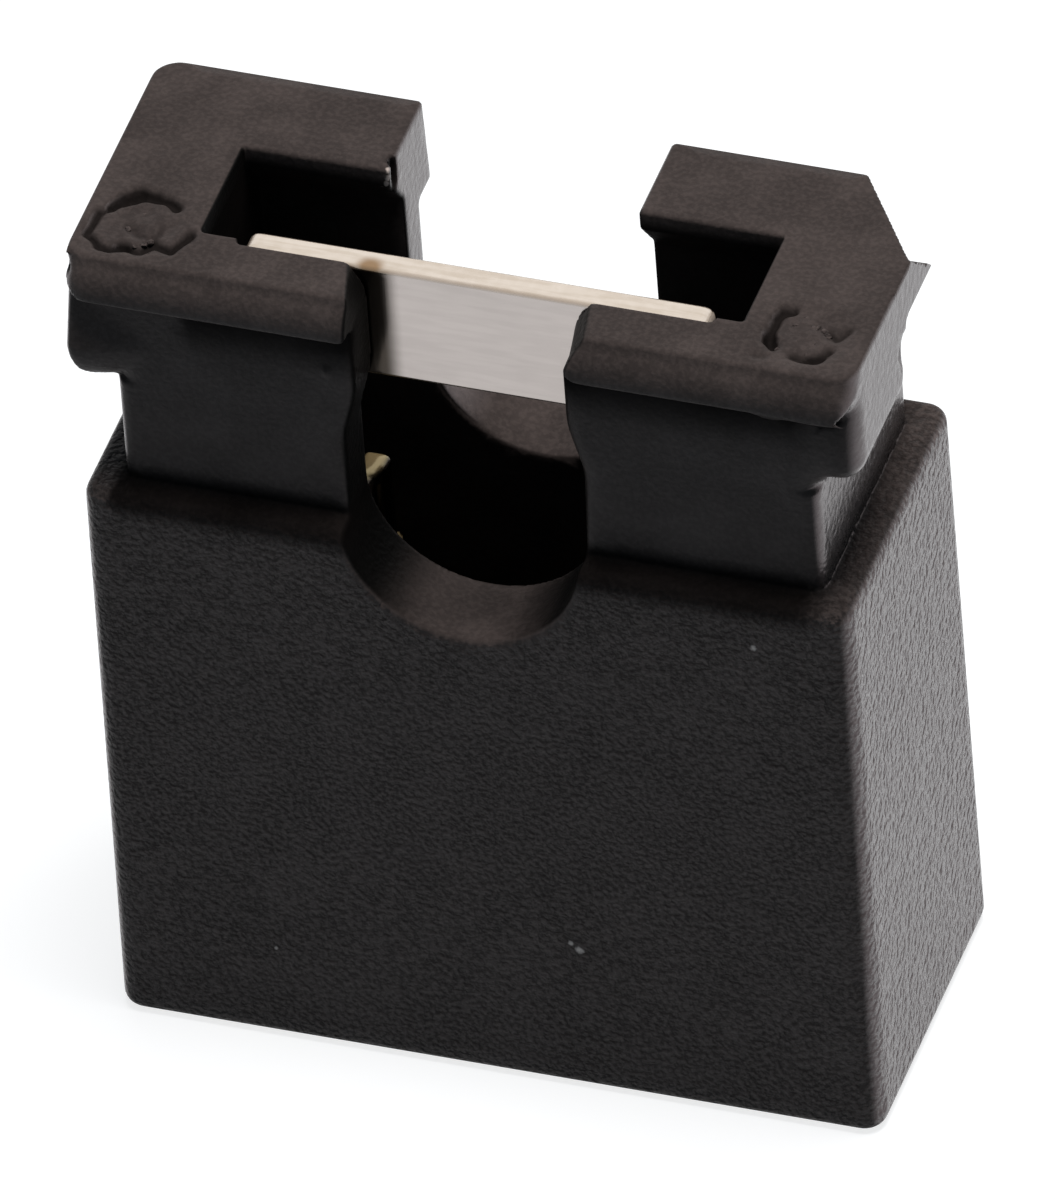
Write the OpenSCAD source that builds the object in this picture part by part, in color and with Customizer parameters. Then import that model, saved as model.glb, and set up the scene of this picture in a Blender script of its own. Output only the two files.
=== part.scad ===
// Two-way open-top jumper shunt for square header pins, in millimetres.
// X runs along the pin row, the bridge of the contact faces -Y, and the foot stands on Z = 0.

/* [Pins] */
// Distance between the centres of the two header pins
pitch = 2.54; // [2.45:0.01:2.6]
// Side of the square header pins
pin_side = 0.64; // [0.6:0.01:0.66]
// Free room between a pin and the inner wall of its sleeve
pin_clearance = 0.02; // [0.01:0.01:0.05]

/* [Body] */
// Width of the body along the pin row
body_w = 4.96; // [4.8:0.02:5.06]
// Depth of the body at the foot
foot_d = 2.24; // [2.22:0.02:2.5]
// Depth of the body at the shoulder
shoulder_d = 2.12; // [2:0.02:2.2]
// Height of the shoulder above the foot
body_h = 4.17; // [3.9:0.01:4.6]
// Radius of the upright edges of the body
body_edge_r = 0.15; // [0.05:0.01:0.25]
// Radius of the edges round the foot
foot_edge_r = 0.1; // [0.04:0.01:0.16]
// Radius of the edges round the shoulder
shoulder_edge_r = 0.08; // [0.03:0.01:0.1]

/* [Neck] */
// Height of the neck and rim above the shoulder
neck_h = 1.75; // [1.6:0.01:2]
// Width of the neck along the pin row
neck_w = 4.52; // [4.3:0.02:4.7]
// Front face of the neck, in front of the pin row
neck_front = 0.86; // [0.82:0.01:0.92]
// Back face of the neck, behind the pin row
neck_back = 0.875; // [0.84:0.005:0.92]
// Radius of the upright edges of the neck
neck_edge_r = 0.1; // [0.04:0.01:0.15]

/* [Rim] */
// Width of the rim over its two ears
rim_w = 5.08; // [4.96:0.02:5.2]
// Height of the ears at the two ends of the rim
ear_h = 0.88; // [0.75:0.01:0.95]
// Radius of the lower outer edge of an ear
ear_edge_r = 0.16; // [0.08:0.01:0.17]
// Radius of the hollow between an ear and the neck
ear_fillet_r = 0.1; // [0.03:0.01:0.11]
// Radius of the upright edges of the rim
rim_edge_r = 0.18; // [0.05:0.01:0.22]
// Nose of the front lip, in front of the pin row
lip_front = 0.98; // [0.95:0.01:1.05]
// Height of the front lip
lip_h = 0.28; // [0.26:0.01:0.45]
// Radius of the nose of the front lip
lip_nose_r = 0.25; // [0.1:0.01:0.26]
// Height of the back lip
back_lip_h = 0.66; // [0.5:0.01:0.75]
// Top edge of the back lip, behind the pin row
back_lip_top = 1.06; // [0.98:0.01:1.08]
// Lower edge of the back lip, behind the pin row
back_lip_foot = 1.11; // [1.07:0.01:1.12]

/* [Trimmed gate corner] */
// Length of the gate cut along the back of the rim
gate_cut_x = 0.5; // [0.3:0.02:0.6]
// Length of the gate cut along the end of the rim
gate_cut_y = 0.73; // [0.5:0.01:0.85]
// Angle at which the gate cut leans in under the rim
gate_cut_lean = 12; // [0:1:16]
// Thickness of the burr left standing by the gate cut
burr_t = 0.06; // [0.03:0.01:0.1]
// Reach of the burr behind the gate cut
burr_reach = 0.38; // [0.1:0.02:0.4]
// Height of the burr
burr_h = 0.34; // [0.15:0.01:0.4]

/* [Ejector marks] */
// Diameter of the round marks on the rim
mark_d = 0.62; // [0.4:0.02:0.64]
// Depth of the round marks on the rim
mark_depth = 0.02; // [0.01:0.01:0.05]
// Centre of the marks, in front of the pin row
mark_front = 0.48; // [0.35:0.01:0.55]
// Wall between a mark and the end of the rim
mark_inset = 0.1; // [0.08:0.01:0.2]

/* [Core] */
// Shift of the core that forms the notches and the cavity, along the pin row
core_shift = -0.03; // [-0.05:0.01:0.05]

/* [Front notch] */
// Radius of the round foot of the front notch
keyhole_r = 0.76; // [0.7:0.01:0.8]
// Centre of the round foot, above the shoulder
keyhole_rise = 0.08; // [0:0.01:0.2]
// Height of the straight sides above that centre
keyhole_side_h = 0.55; // [0.4:0.01:0.6]
// Width of the front notch at its throat
throat_w = 1.34; // [1.2:0.01:1.5]
// Lower end of the throat, above the straight sides
throat_rise = 0.35; // [0.2:0.01:0.4]
// Height of the throat
throat_h = 0.6; // [0.3:0.01:0.65]
// Width of the front notch at the top of the rim
mouth_w = 1.58; // [1.5:0.01:1.64]

/* [Back notch] */
// Radius of the round foot of the back notch
back_foot_r = 0.72; // [0.65:0.01:0.78]
// Centre of that foot, above the shoulder
back_foot_rise = 0.15; // [0.05:0.01:0.2]
// Height over which the back notch widens above that centre
back_flare_h = 0.4; // [0.2:0.05:0.6]
// Width of the back notch above that
back_notch_w = 1.61; // [1.56:0.01:1.7]

/* [Cavity] */
// Depth of the groove in the front wall that takes the contact
groove_depth = 0.05; // [0.02:0.01:0.1]
// Room between the contact and each end of its groove
groove_clearance = 0.02; // [0.01:0.01:0.05]
// Back edge of the opening in the rim, behind the pin row
opening_back = 0.37; // [0.34:0.01:0.45]
// Upright height of the ledge behind the opening
ledge_h = 0.14; // [0.08:0.01:0.2]
// Height of the slope under that ledge
ledge_slope_h = 0.28; // [0.2:0.01:0.35]
// Room between the contact and the ends of the cavity
end_clearance = 0.24; // [0.15:0.01:0.28]
// Room behind the spring leaves
spring_clearance = 0.03; // [0.02:0.01:0.08]
// Thickness of the floor under the contact
floor_t = 0.6; // [0.45:0.01:0.8]
// Height of the wall between the two sockets
partition_h = 2.4; // [2:0.05:3]
// Room between a sleeve and that wall
partition_clearance = 0.06; // [0.03:0.01:0.1]
// Free room round a pin in its entry
entry_clearance = 0.08; // [0.04:0.01:0.1]
// Width of the sloping mouth round an entry
entry_mouth_w = 0.12; // [0.06:0.01:0.18]
// Height of the sloping mouth
entry_mouth_h = 0.3; // [0.15:0.01:0.4]

/* [Contact] */
// Thickness of the contact sheet
sheet_t = 0.18; // [0.12:0.01:0.2]
// Height of the bridge strip
strip_h = 0.86; // [0.7:0.01:1]
// Depth of the strip under the top of the rim
strip_recess = 0.04; // [0.02:0.01:0.1]
// Outer edge of a leg, from the centre of its pin
leg_reach = 0.23; // [0.18:0.01:0.3]
// Radius of the top corners of the strip
strip_corner_r = 0.08; // [0.03:0.01:0.2]
// Radius of the hollow between strip and legs
strip_fillet_r = 0.15; // [0.05:0.01:0.25]
// Inside radius of the sleeve bends
bend_r = 0.06; // [0.03:0.01:0.1]
// Height of a sleeve's inner wall above the floor
wall_h = 2; // [1.6:0.05:2.4]
// Height of a sleeve's front tab above the floor
tab_h = 3.52; // [3.2:0.02:3.8]
// Length of that tab, from the front of the contact
tab_l = 0.34; // [0.3:0.01:0.5]
// Height of the bend that carries a spring leaf
root_h = 0.6; // [0.4:0.05:0.8]
// Room between a pin and the root of the leaf
root_gap = 0.06; // [0.04:0.01:0.1]
// Amount by which a leaf bows into the place of its pin
leaf_squeeze = 0.1; // [0.04:0.01:0.14]
// Free length of a leaf
leaf_l = 1.6; // [1.3:0.05:1.9]
// Edge of a leaf, from the centre of its pin
leaf_reach = 0.23; // [0.15:0.01:0.3]

/* [Hidden] */
$fn = 96;
// Overshoot of cutting solids past the faces that they cut
over = 0.5;

top = body_h + neck_h;
lean = atan((foot_d - shoulder_d) / 2 / body_h);
lip_lean = atan((back_lip_foot - back_lip_top) / back_lip_h);

// Sheet planes of the contact, which also set the cavity
plate_back = -pin_side / 2;
plate_front = plate_back - sheet_t;
root_front = pin_side / 2 + root_gap;
root_back = root_front + sheet_t;
wall_inner = pitch / 2 - pin_side / 2 - pin_clearance - sheet_t;
leg_outer = pitch / 2 + leg_reach;
outer_bend_r = bend_r + sheet_t;
leg_inner = wall_inner + outer_bend_r;
strip_top = top - strip_recess;
strip_foot = strip_top - strip_h;

pocket_front = plate_front + groove_depth;
groove_half = leg_outer + groove_clearance;
cavity_half = leg_outer + end_clearance;
cavity_back = root_back + spring_clearance;
partition_half = wall_inner - partition_clearance;

// Waste outside a rounded corner of an outline, where the corner lies at the origin and points to +x +y
module corner_waste(r) {
    translate([-r, -r]) difference() {
        square(r + over);
        circle(r);
    }
}

// The same waste for any of the four corners, at a place in the outline
module waste_at(place, side_x, side_y, r) {
    translate(place) scale_sides(side_x, side_y) corner_waste(r);
}

// Turns a corner that points to +x +y to any of the four sides
module scale_sides(side_x, side_y) {
    mirror([side_x < 0 ? 1 : 0, 0]) mirror([0, side_y < 0 ? 1 : 0]) children();
}

// Extrudes an outline drawn in X and Z along Y, over the given span
module along_y(from, to) {
    translate([0, to, 0]) rotate([90, 0, 0]) linear_extrude(to - from) children();
}

// Extrudes an outline drawn in Y and Z along X, over the given span
module along_x(from, to) {
    translate([from, 0, 0]) rotate([90, 0, 90]) linear_extrude(to - from) children();
}

// Repeats a shape drawn for the right-hand pin at both pins
module both_sides() {
    children();
    mirror([1, 0, 0]) children();
}

// Waste along one upright edge from one height to another, leaning by an angle towards +Y as it rises
module upright_waste(place, side_x, side_y, r, from, to, angle = 0) {
    translate(place) rotate([-angle, 0, 0]) translate([0, 0, from])
        linear_extrude(to - from) scale_sides(side_x, side_y) corner_waste(r);
}

// Front outline of the body, with rounded corners at foot and shoulder
module body_front_outline() {
    difference() {
        translate([-body_w / 2, 0]) square([body_w, body_h]);
        for (side = [-1, 1]) {
            waste_at([side * body_w / 2, 0], side, -1, foot_edge_r);
            waste_at([side * body_w / 2, body_h], side, 1, shoulder_edge_r);
        }
    }
}

// Side outline of the body, which flares towards the foot
module body_side_outline() {
    difference() {
        polygon([
            [-foot_d / 2, 0],
            [foot_d / 2, 0],
            [shoulder_d / 2, body_h],
            [-shoulder_d / 2, body_h]
        ]);
        for (side = [-1, 1]) {
            waste_at([side * foot_d / 2, 0], side, -1, foot_edge_r);
            waste_at([side * shoulder_d / 2, body_h], side, 1, shoulder_edge_r);
        }
    }
}

// Flared lower block with rounded upright edges
module lower_body() {
    difference() {
        intersection() {
            along_y(-foot_d, foot_d) body_front_outline();
            along_x(-body_w, body_w) body_side_outline();
        }
        both_sides() {
            upright_waste([body_w / 2, -foot_d / 2], 1, -1, body_edge_r, -over, body_h + over, lean);
            upright_waste([body_w / 2, foot_d / 2], 1, 1, body_edge_r, -over, body_h + over, -lean);
        }
    }
}

// Front outline of the neck with an ear at each end of the rim
module rim_front_outline() {
    ear_foot = top - ear_h;
    difference() {
        union() {
            translate([-neck_w / 2, body_h - foot_edge_r]) square([neck_w, neck_h + foot_edge_r]);
            translate([-rim_w / 2, ear_foot]) square([rim_w, ear_h]);
            for (side = [-1, 1])
                translate([side * neck_w / 2, ear_foot]) scale_sides(side, -1) ear_fillet();
        }
        waste_at([rim_w / 2, ear_foot], 1, -1, ear_edge_r);
        waste_at([-rim_w / 2, ear_foot], -1, -1, ear_edge_r);
    }
}

// Hollow corner between the neck and the foot of an ear, reaching to +x +y
module ear_fillet() {
    difference() {
        translate([-ear_fillet_r, -ear_fillet_r]) square(2 * ear_fillet_r);
        translate([ear_fillet_r, ear_fillet_r]) circle(ear_fillet_r);
    }
}

// Side outline of the neck, with the nosed front lip and the leaning back lip
module rim_side_outline() {
    difference() {
        union() {
            translate([-neck_front, body_h - foot_edge_r])
                square([neck_front + neck_back, neck_h + foot_edge_r]);
            translate([-lip_front, top - lip_h]) square([lip_front, lip_h]);
            polygon([
                [0, top],
                [back_lip_top, top],
                [back_lip_foot, top - back_lip_h],
                [0, top - back_lip_h]
            ]);
        }
        waste_at([-lip_front, top], -1, 1, lip_nose_r);
    }
}

// Neck and overhanging rim, with the gate corner trimmed away
module neck_and_rim() {
    ear_foot = top - ear_h;
    neck_top = ear_foot - ear_fillet_r;
    lip_foot = top - lip_h;
    difference() {
        intersection() {
            along_y(-lip_front, back_lip_foot) rim_front_outline();
            along_x(-rim_w, rim_w) rim_side_outline();
        }
        both_sides() {
            upright_waste([neck_w / 2, -neck_front], 1, -1, neck_edge_r, 0, neck_top);
            upright_waste([neck_w / 2, neck_back], 1, 1, neck_edge_r, 0, neck_top);
            upright_waste([rim_w / 2, -neck_front], 1, -1, rim_edge_r, neck_top, lip_foot);
            upright_waste([rim_w / 2, -lip_front], 1, -1, rim_edge_r, lip_foot, top + over);
        }
        translate([-rim_w / 2, back_lip_foot, top - back_lip_h])
            upright_waste([0, 0], -1, 1, rim_edge_r, -over, top, -lip_lean);
        gate_cut();
    }
}

// Slanting cut that takes the gate off the back right corner of the rim
module gate_cut() {
    turn = atan(gate_cut_x / gate_cut_y);
    cut_l = norm([gate_cut_x, gate_cut_y]);
    intersection() {
        translate([rim_w / 2, back_lip_top - gate_cut_y, top]) rotate([0, 0, turn])
            rotate([0, gate_cut_lean, 0]) translate([0, -cut_l, -top])
                cube([cut_l + over, 3 * cut_l, top + over]);
        translate([0, 0, top - ear_h - ear_fillet_r]) cube(rim_w);
    }
}

// Thin burr in the plane of the rim's end, behind the gate cut
module gate_burr() {
    edge = back_lip_top - gate_cut_y;
    along_x(rim_w / 2 - burr_t, rim_w / 2) polygon([
        [edge - burr_h, top - burr_h],
        [edge - burr_h, top],
        [edge, top],
        [edge + burr_reach, top - burr_h]
    ]);
}

// Front notch: round foot, straight sides, narrow throat and flared mouth
module front_notch_outline() {
    centre = body_h + keyhole_rise;
    side_top = centre + keyhole_side_h;
    throat_foot = side_top + throat_rise;
    throat_top = throat_foot + throat_h;
    translate([0, centre]) circle(keyhole_r);
    for (side = [0, 1]) mirror([side, 0]) polygon([
        [0, centre],
        [keyhole_r, centre],
        [keyhole_r, side_top],
        [throat_w / 2, throat_foot],
        [throat_w / 2, throat_top],
        [mouth_w / 2, top],
        [mouth_w / 2, top + over],
        [0, top + over]
    ]);
}

// Back notch: round foot that widens to straight sides
module back_notch_outline() {
    centre = body_h + back_foot_rise;
    translate([0, centre]) circle(back_foot_r);
    for (side = [0, 1]) mirror([side, 0]) polygon([
        [0, centre],
        [back_foot_r, centre],
        [back_notch_w / 2, centre + back_flare_h],
        [back_notch_w / 2, top + over],
        [0, top + over]
    ]);
}

// Side outline of the cavity from its front wall and above a floor, with the ledge that narrows its opening
module cavity_side_outline(front, floor_z) {
    polygon([
        [front, floor_z],
        [cavity_back, floor_z],
        [cavity_back, top - ledge_h - ledge_slope_h],
        [opening_back, top - ledge_h],
        [opening_back, top + over],
        [front, top + over]
    ]);
}

// Hollow for the contact: two pockets, the room above their partition and a groove for the strip and legs
module cavity() {
    along_x(-partition_half, partition_half) cavity_side_outline(plate_front, partition_h);
    both_sides() along_x(partition_half, groove_half) cavity_side_outline(plate_front, floor_t);
    along_x(core_shift - cavity_half, -groove_half) cavity_side_outline(pocket_front, floor_t);
    along_x(groove_half, core_shift + cavity_half) cavity_side_outline(pocket_front, floor_t);
}

// Square entry for one pin, with a mouth that slopes in on all four sides
module pin_entry() {
    half = pin_side / 2 + entry_clearance;
    mouth = half + entry_mouth_w;
    translate([pitch / 2 - half, -half, -over]) cube([2 * half, 2 * half, floor_t + 2 * over]);
    intersection() {
        along_y(-mouth, mouth) translate([pitch / 2, 0]) mouth_outline(half, mouth);
        along_x(0, pitch) mouth_outline(half, mouth);
    }
}

// Trapezoid of the sloping mouth, wide at the foot
module mouth_outline(half, mouth) {
    polygon([
        [-mouth, 0],
        [mouth, 0],
        [half, entry_mouth_h],
        [-half, entry_mouth_h]
    ]);
}

// Round ejector mark on the right-hand end of the rim
module ejector_mark() {
    translate([rim_w / 2 - mark_inset - mark_d / 2, -mark_front, top - mark_depth])
        cylinder(d = mark_d, h = mark_depth + over);
}

// Moulded housing
module housing() {
    color([0.14, 0.13, 0.14]) difference() {
        union() {
            lower_body();
            neck_and_rim();
            gate_burr();
        }
        along_y(-foot_d, 0) translate([core_shift, 0]) front_notch_outline();
        along_y(0, foot_d) translate([core_shift, 0]) back_notch_outline();
        cavity();
        both_sides() {
            pin_entry();
            ejector_mark();
        }
    }
}

// Front outline of the bridge strip and its two legs
module strip_outline() {
    difference() {
        translate([-leg_outer, strip_foot]) square([2 * leg_outer, strip_h]);
        waste_at([leg_outer, strip_top], 1, 1, strip_corner_r);
        waste_at([-leg_outer, strip_top], -1, 1, strip_corner_r);
    }
    leg_w = leg_outer - leg_inner;
    for (side = [0, 1]) mirror([side, 0]) {
        translate([leg_inner, floor_t]) square([leg_w, strip_foot - floor_t + sheet_t]);
        translate([leg_inner, strip_foot]) mirror([1, 0]) strip_fillet();
    }
}

// Hollow corner under the strip, between it and a leg
module strip_fillet() {
    difference() {
        translate([-sheet_t, -strip_fillet_r]) square([strip_fillet_r + sheet_t, strip_fillet_r + sheet_t]);
        translate([strip_fillet_r, -strip_fillet_r]) circle(strip_fillet_r);
    }
}

// Plan of a folded sleeve: front bend, inner wall, back bend and root of the leaf
module sleeve_plan() {
    leaf_edge = pitch / 2 + leaf_reach;
    difference() {
        translate([wall_inner, plate_front]) square([leaf_edge - wall_inner, root_back - plate_front]);
        waste_at([wall_inner, plate_front], -1, -1, outer_bend_r);
        waste_at([wall_inner, root_back], -1, 1, outer_bend_r);
        sleeve_bore();
    }
}

// Inside of the folded sleeve, open to the outer side
module sleeve_bore() {
    inner = wall_inner + sheet_t;
    difference() {
        translate([inner, plate_back]) square([leg_reach + pitch, root_front - plate_back]);
        waste_at([inner, plate_back], -1, -1, bend_r);
        waste_at([inner, root_front], -1, 1, bend_r);
    }
}

// Front part of a folded sleeve, over a length from the front of the contact
module sleeve_front(length, height) {
    translate([0, 0, floor_t]) linear_extrude(height) intersection() {
        sleeve_plan();
        translate([0, plate_front]) square([leg_inner, length]);
    }
}

// Bowed spring leaf behind one pin, standing on the root of its sleeve
module spring_leaf() {
    half_l = leaf_l / 2;
    bow = root_gap + leaf_squeeze;
    leaf_r = (half_l * half_l + bow * bow) / (2 * bow);
    leaf_foot = floor_t + root_h;
    along_x(leg_inner, pitch / 2 + leaf_reach) intersection() {
        translate([root_front - bow + leaf_r, leaf_foot + half_l]) difference() {
            circle(leaf_r, $fn = 360);
            circle(leaf_r - sheet_t, $fn = 360);
        }
        translate([0, leaf_foot - sheet_t]) square([root_back, leaf_l + sheet_t]);
    }
}

// Stamped and folded contact: one strip that bridges two spring sleeves
module contact() {
    color([0.78, 0.72, 0.6]) {
        along_y(plate_front, plate_back) strip_outline();
        both_sides() {
            translate([0, 0, floor_t]) linear_extrude(root_h) sleeve_plan();
            sleeve_front(pin_side + sheet_t, wall_h);
            sleeve_front(tab_l, tab_h);
            spring_leaf();
        }
    }
}

housing();
contact();
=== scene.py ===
import math
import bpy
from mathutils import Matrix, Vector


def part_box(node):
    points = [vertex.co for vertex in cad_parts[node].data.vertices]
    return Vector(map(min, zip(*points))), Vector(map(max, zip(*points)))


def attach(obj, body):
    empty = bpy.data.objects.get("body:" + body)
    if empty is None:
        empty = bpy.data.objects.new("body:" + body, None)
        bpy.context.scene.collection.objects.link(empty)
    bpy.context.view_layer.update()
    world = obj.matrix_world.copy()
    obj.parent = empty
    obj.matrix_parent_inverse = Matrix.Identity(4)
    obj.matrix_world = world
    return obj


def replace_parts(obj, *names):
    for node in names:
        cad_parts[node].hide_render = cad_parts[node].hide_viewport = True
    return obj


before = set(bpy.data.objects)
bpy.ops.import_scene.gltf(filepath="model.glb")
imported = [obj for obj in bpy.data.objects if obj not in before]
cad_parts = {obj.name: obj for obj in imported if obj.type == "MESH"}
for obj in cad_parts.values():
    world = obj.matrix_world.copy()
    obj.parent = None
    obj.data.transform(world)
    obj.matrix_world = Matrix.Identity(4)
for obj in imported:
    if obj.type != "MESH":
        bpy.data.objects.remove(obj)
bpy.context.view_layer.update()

from types import SimpleNamespace

import bpy
import numpy as np
import openvdb
from bpy.props import FloatProperty, FloatVectorProperty, IntProperty, PointerProperty
from mathutils import Matrix, Vector

bl_info = {
    "name": "Open-top jumper shunt",
    "version": (1, 1, 0),
    "blender": (4, 5, 0),
    "location": "3D View > Sidebar > Shunt",
    "description": "Moulded housing and folded contact of a jumper shunt, in a plain white studio",
    "category": "Add Mesh",
}

MM = 0.001
BODY = "root"
HOUSING_LOW, HOUSING_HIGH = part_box("housing")
RIM_W = (HOUSING_HIGH.x - HOUSING_LOW.x) / MM
TOTAL_H = HOUSING_HIGH.z / MM
WHITE = (1.0, 1.0, 1.0)

# Torn lines of the ejector marks, in millimetres: side of the rim, reach and depth of the tear, and the
# places along it, from the middle of the mark
TORN_LINES = (
    (-1, 0.07, 0.05, (
        (-0.245, 0.125), (-0.19, 0.215), (-0.113, 0.285),
        (-0.012, 0.283), (0.08, 0.25), (0.137, 0.214),
    )),
    (-1, 0.065, 0.03, ((-0.24, 0.13), (-0.18, 0.22), (-0.12, 0.27))),
    (-1, 0.06, 0.042, (
        (-0.294, 0.064), (-0.309, -0.152), (-0.225, -0.236),
        (-0.135, -0.256), (-0.069, -0.197),
    )),
    (-1, 0.06, 0.042, (
        (-0.069, -0.197), (0.053, -0.226), (0.107, -0.131),
        (0.221, -0.178), (0.297, -0.02),
    )),
    (-1, 0.06, 0.018, ((-0.087, -0.011), (-0.009, -0.076), (0.088, -0.073), (0.12, -0.02))),
    (1, 0.06, 0.042, (
        (-0.156, 0.215), (-0.201, 0.178), (-0.226, 0.075),
        (-0.246, -0.008), (-0.228, -0.099), (-0.183, -0.131),
    )),
    (1, 0.065, 0.03, ((-0.24, -0.04), (-0.22, -0.1))),
    (1, 0.055, 0.03, ((-0.033, -0.2), (0.05, -0.22), (0.114, -0.205), (0.171, -0.095))),
    (1, 0.065, 0.04, ((0.1, -0.205), (0.125, -0.2))),
    (1, 0.055, 0.026, ((0.114, 0.065), (0.172, 0.028), (0.232, 0.095))),
    (1, 0.06, 0.014, ((-0.264, -0.239), (-0.2, -0.25))),
)

# Small chips, each with a darker patch round it, dents without one and lumps of flash on the housing, in
# millimetres: place and reach along X, Y and Z
CHIPS = (
    ((-2.57, -0.83, 5.8), (0.08, 0.1, 0.045)),
    ((-0.83, 0.475, 5.82), (0.05, 0.05, 0.15)),
)
DENTS = (
    ((2.62, 0.12, 5.38), (0.13, 0.16, 0.16)),
    ((2.24, -0.86, 5.585), (0.2, 0.06, 0.03)),
    ((2.36, -0.86, 5.58), (0.1, 0.07, 0.045)),
)
LUMPS = (
    ((2.03, -0.955, 5.635), (0.09, 0.02, 0.02)),
    ((2.3, -0.96, 5.64), (0.2, 0.018, 0.012)),
    ((-0.872, -0.862, 5.315), (0.025, 0.02, 0.04)),
    ((-2.518, -0.77, 5.895), (0.016, 0.06, 0.018)),
)
LUMP_EDGE = 0.015

# Pale specks on the plastic: place and reach in millimetres
SPECKS = (
    ((1.853, -1.065, 3.82), 0.035),
    ((0.583, -1.104, 1.128), 0.045),
    ((0.53, -1.102, 1.17), 0.03),
    ((-1.41, -1.11, 0.72), 0.02),
    # These four paint the highlight on the chipped top edge of the back notch's left side, over plastic also
    # whitened where it broke
    ((-0.838, 0.39, 5.9), 0.035),
    ((-0.838, 0.38, 5.85), 0.04),
    ((-0.85, 0.365, 5.8), 0.04),
    ((-0.885, 0.365, 5.755), 0.03),
)
SPECK_EDGE = (0.7, 1.3)

# Brown stain where the strip's top edge comes out of the left lip, in metres
STAIN_PLACE = (-0.68 * MM, -0.48 * MM, 5.88 * MM)
STAIN_REACH = 0.12 * MM
STAIN_CORE = 0.3
CORNER_STAIN = 2.4

# Span along X in which the painted dark reflection of the left wall on the strip's front ends, in metres
DARK_REFLECTION_END = (-0.62 * MM, -0.48 * MM)

# Painted shade: how fast it fades round the neck's ends, over the ledge, up the neck, down the body and below
# the lip, its limits in shares of its width and of a mark's depth, the reach of the dark patch round a chip,
# and the share of it taken off the lit right end
FADE_ENDS, FADE_LEDGE, FADE_UP, FADE_DOWN, FADE_LIP = 3.5, 0.2, 1.6, 0.95, 0.45
SHADE_SPAN = (0.5, 1.5)
TEAR_SPAN = (1 / 3, 1.5)
CHIP_DARK = 1.3
RIGHT_END_LIT = 0.6

# Crumbs: stray in radii, least and greatest scales, and depth of their middles in depths of a mark
CRUMB_STRAY = 3.0
CRUMB_SCALES = ((0.7, 0.6, 0.4), (1.8, 1.2, 0.8))
CRUMB_SINK = 1.75

# Meshes: margin round a field and step for its slope, in grid steps, and merging of flat faces
GRID_MARGIN = 4
SLOPE_STEP = 0.7
FACE_MERGING = 0.02

# Plastic: scales of textures against the fine grain, their limits, shares and middles, and the slopes at
# which a face counts as an end face or as a core wall with painted shade
COARSE_SCALE, CLOUD_SCALE = 0.65, 0.1
GRAIN_TONES, CLOUD_TONES = (0.38, 0.68), (0.35, 0.7)
PIT_SHARE, GRAIN_MIDDLE = 0.5, 0.7
COARSE_SHARE, COARSE_MIDDLE = 1.35, 0.5
END_SLOPES, SHADED_SLOPES = (0.5, 0.9), (0.3, 0.8)
# The last paleness share paints the neck and rim paler where light from above falls on them
PALE_LEAST, PALE_CLOUDS, PAINTED_LIGHT_ABOVE = 0.2, 0.3, 0.15
# How strong and how cloudy the painted shade is
SHADE_SHARE, SHADE_CLOUDS = 0.9, 0.4

# Least roughness of the plastic's faces, ends and painted shade, and what their grain adds
FACE_ROUGH, END_ROUGH, SHADE_ROUGH = (0.35, 0.2), (0.18, 0.15), (0.8, 0.2)

# Contact: stretch and scales of textures against the rolling lines, their limits and shares
LINE_STRETCH, STREAK_STRETCH = (1.0, 1.0, 0.03), (0.12, 1.0, 1.0)
STREAK_SCALE, SMEAR_SCALE, NICK_SCALE = 0.7, 0.08, 0.5
SMEAR_TONES, STREAK_TONES = (0.3, 0.75), (0.35, 0.65)
NICK_TONES, EDGE_TONES = (0.35, 0.65), (0.3, 0.6)
NICK_SHARE = 0.25
DULL_SHARE = 0.9
LINE_STRENGTH, LINE_DEPTH = 0.3, 0.001 * MM
METAL_ROUGH, LINE_ROUGH, NICK_ROUGH = 0.12, 0.08, 0.12
EDGE_DULL = 0.55


def length(name, description, default_mm):
    """A length setting, given in millimetres and kept in metres."""
    return FloatProperty(
        name=name, description=description, default=default_mm * MM, unit="LENGTH", precision=6
    )


def colour(name, description, default):
    """A colour setting in linear red, green and blue."""
    return FloatVectorProperty(
        name=name, description=description, default=default, subtype="COLOR", size=3, min=0, max=1
    )


def angle(name, description, degrees):
    """An angle setting, given in degrees."""
    return FloatProperty(
        name=name, description=description, default=math.radians(degrees), unit="ROTATION"
    )


def share(name, description, default):
    """A plain number setting."""
    return FloatProperty(name=name, description=description, default=default)


def millimetres(group):
    """The lengths of a settings group in millimetres, with its other values as they are."""
    values = {}
    for key in type(group).__annotations__:
        value = getattr(group, key)
        is_length = group.bl_rna.properties[key].unit == "LENGTH"
        values[key] = value / MM if is_length else value
    return SimpleNamespace(**values)


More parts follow.
